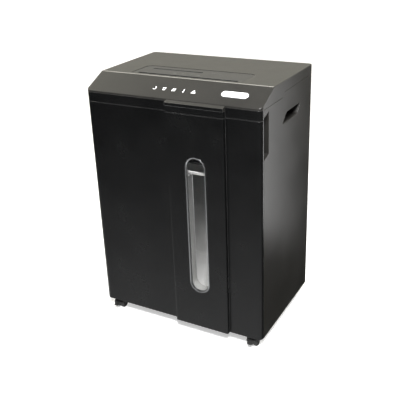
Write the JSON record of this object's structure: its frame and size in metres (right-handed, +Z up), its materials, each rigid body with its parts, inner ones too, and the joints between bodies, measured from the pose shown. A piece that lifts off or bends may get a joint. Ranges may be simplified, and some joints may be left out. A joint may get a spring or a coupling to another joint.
{
  "type": "paper shredder",
  "caption": "Upright office paper shredder with a pull-out bin, a pill-shaped bin window, sloping control panel, paper and card slots, and small swivel casters.",
  "frame": {"origin": "on the floor, under the centre of the machine's outer box", "axes": "+X to the right seen from the front, +Y to the back, +Z up"},
  "size_m": [0.392, 0.2758, 0.551],
  "materials": {
    "shell_black": "fine moulded texture",
    "panel_black": "satin",
    "trim_black": "satin",
    "base_black": "textured",
    "bezel_bright": "bright satin",
    "window_clear": "clear",
    "tub_grey": "frosted grey",
    "icon_white": "diffusing",
    "key_white": "gloss white",
    "key_trim": "satin",
    "inlet_black": "satin",
    "caster_black": "satin",
    "wheel_grey": "satin",
    "bush_bronze": "plain",
    "frame_steel": "zinc plated",
    "cutter_steel": "ground",
    "comb_plastic": "plain",
    "gear_steel": "oiled",
    "motor_can": "satin",
    "board_green": "solder mask"
  },
  "bodies": {
    "cabinet": {"top_cover": "shell_black", "feed_panel": "trim_black", "head_skirt": "panel_black", "left_side_panel": "shell_black", "right_side_panel": "shell_black", "rear_panel": "base_black", "base_tray": "base_black", "left_grip_cup": "trim_black", "right_grip_cup": "trim_black", "head_chassis": "base_black", "left_bin_rail": "base_black", "right_bin_rail": "base_black", "power_key_bezel": "key_trim", "power_inlet": "inlet_black", "rocker_housing": "trim_black", "caster_sockets": "bush_bronze", "left_frame_plate": "frame_steel", "right_frame_plate": "frame_steel", "tie_rods": "frame_steel", "cutter_bushes": "bush_bronze", "motor": "motor_can", "throat_guides": "trim_black", "circuit_board": "board_green", "housing_screws": "frame_steel", "front_stripper_comb": "comb_plastic", "rear_stripper_comb": "comb_plastic", "indicator_lens_1": "icon_white", "indicator_lens_2": "icon_white", "indicator_lens_3": "icon_white", "indicator_lens_4": "icon_white", "indicator_lens_5": "icon_white"},
    "bin": {"bin_front_panel": "panel_black", "window_bezel": "bezel_bright", "window_lens": "window_clear", "bin_tub": "tub_grey"},
    "power_key": {"power_key": "key_white"},
    "rocker": {"rocker_switch": "inlet_black"},
    "front_cutter": {"front_cutter_shaft": "cutter_steel", "front_cutter_discs": "cutter_steel", "front_shaft_gear": "gear_steel"},
    "rear_cutter": {"rear_cutter_shaft": "cutter_steel", "rear_cutter_discs": "cutter_steel", "rear_shaft_gear": "gear_steel", "drive_gear": "gear_steel"},
    "intermediate": {"intermediate_gear": "gear_steel"},
    "motor_rotor": {"motor_shaft": "cutter_steel", "motor_pinion": "gear_steel", "cooling_fan": "comb_plastic"},
    "paper_sensor": {"paper_sensor_lever": "comb_plastic"},
    "interlock": {"interlock_plunger": "comb_plastic"},
    "front_left_caster": {"front_left_caster_fork": "caster_black"},
    "front_left_wheels": {"front_left_caster_wheels": "wheel_grey"},
    "front_left_brake": {"front_left_brake_pedal": "caster_black"},
    "front_right_caster": {"front_right_caster_fork": "caster_black"},
    "front_right_wheels": {"front_right_caster_wheels": "wheel_grey"},
    "front_right_brake": {"front_right_brake_pedal": "caster_black"},
    "rear_left_caster": {"rear_left_caster_fork": "caster_black"},
    "rear_left_wheels": {"rear_left_caster_wheels": "wheel_grey"},
    "rear_right_caster": {"rear_right_caster_fork": "caster_black"},
    "rear_right_wheels": {"rear_right_caster_wheels": "wheel_grey"}
  },
  "joints": [
    {"name": "bin_slide", "type": "slide", "parent": "cabinet", "child": "bin", "axis": [0, -1, 0], "range_m": [0, 0.24]},
    {"name": "power_key_press", "type": "slide", "parent": "cabinet", "child": "power_key", "axis": [0, 0.4212, -0.907], "range_m": [0, 0.0015], "stiffness_N_per_m": 900},
    {"name": "rocker_tilt", "type": "hinge", "parent": "cabinet", "child": "rocker", "pos_m": [-0.06, 0.1304, 0.425], "axis": [1, 0, 0], "range_deg": [-8, 8]},
    {"name": "rear_cutter_spin", "type": "hinge", "parent": "cabinet", "child": "rear_cutter", "pos_m": [0, -0.0161, 0.47], "axis": [1, 0, 0], "continuous": true},
    {"name": "front_cutter_spin", "type": "hinge", "parent": "cabinet", "child": "front_cutter", "pos_m": [0, -0.0521, 0.47], "axis": [1, 0, 0], "continuous": true},
    {"name": "intermediate_spin", "type": "hinge", "parent": "cabinet", "child": "intermediate", "pos_m": [0, 0.0329, 0.4526], "axis": [1, 0, 0], "continuous": true},
    {"name": "motor_spin", "type": "hinge", "parent": "cabinet", "child": "motor_rotor", "pos_m": [0, 0.0689, 0.4256], "axis": [1, 0, 0], "continuous": true},
    {"name": "paper_sensor_tilt", "type": "hinge", "parent": "cabinet", "child": "paper_sensor", "pos_m": [0, -0.0396, 0.5325], "axis": [1, 0, 0], "range_deg": [0, 25], "stiffness_Nm_per_rad": 0.002},
    {"name": "interlock_press", "type": "slide", "parent": "cabinet", "child": "interlock", "axis": [0, 1, 0], "range_m": [0, 0.002], "stiffness_N_per_m": 200},
    {"name": "front_left_swivel", "type": "hinge", "parent": "cabinet", "child": "front_left_caster", "pos_m": [-0.17, -0.1021, 0], "axis": [0, 0, 1], "continuous": true},
    {"name": "front_left_roll", "type": "hinge", "parent": "front_left_caster", "child": "front_left_wheels", "pos_m": [-0.17, -0.1101, 0.011], "axis": [1, 0, 0], "continuous": true},
    {"name": "front_left_brake_press", "type": "hinge", "parent": "front_left_caster", "child": "front_left_brake", "pos_m": [-0.17, -0.1258, 0.015], "axis": [1, 0, 0], "range_deg": [0, 18]},
    {"name": "front_right_swivel", "type": "hinge", "parent": "cabinet", "child": "front_right_caster", "pos_m": [0.17, -0.1021, 0], "axis": [0, 0, 1], "continuous": true},
    {"name": "front_right_roll", "type": "hinge", "parent": "front_right_caster", "child": "front_right_wheels", "pos_m": [0.17, -0.1101, 0.011], "axis": [1, 0, 0], "continuous": true},
    {"name": "front_right_brake_press", "type": "hinge", "parent": "front_right_caster", "child": "front_right_brake", "pos_m": [0.17, -0.1258, 0.015], "axis": [1, 0, 0], "range_deg": [0, 18]},
    {"name": "rear_left_swivel", "type": "hinge", "parent": "cabinet", "child": "rear_left_caster", "pos_m": [-0.17, 0.1119, 0], "axis": [0, 0, 1], "continuous": true},
    {"name": "rear_left_roll", "type": "hinge", "parent": "rear_left_caster", "child": "rear_left_wheels", "pos_m": [-0.17, 0.1039, 0.011], "axis": [1, 0, 0], "continuous": true},
    {"name": "rear_right_swivel", "type": "hinge", "parent": "cabinet", "child": "rear_right_caster", "pos_m": [0.17, 0.1119, 0], "axis": [0, 0, 1], "continuous": true},
    {"name": "rear_right_roll", "type": "hinge", "parent": "rear_right_caster", "child": "rear_right_wheels", "pos_m": [0.17, 0.1039, 0.011], "axis": [1, 0, 0], "continuous": true}
  ],
  "couplings": [
    {"joint": "front_cutter_spin", "follows": "rear_cutter_spin", "ratio": -1},
    {"joint": "intermediate_spin", "follows": "rear_cutter_spin", "ratio": -3.3333},
    {"joint": "motor_spin", "follows": "rear_cutter_spin", "ratio": 13.333}
  ]
}
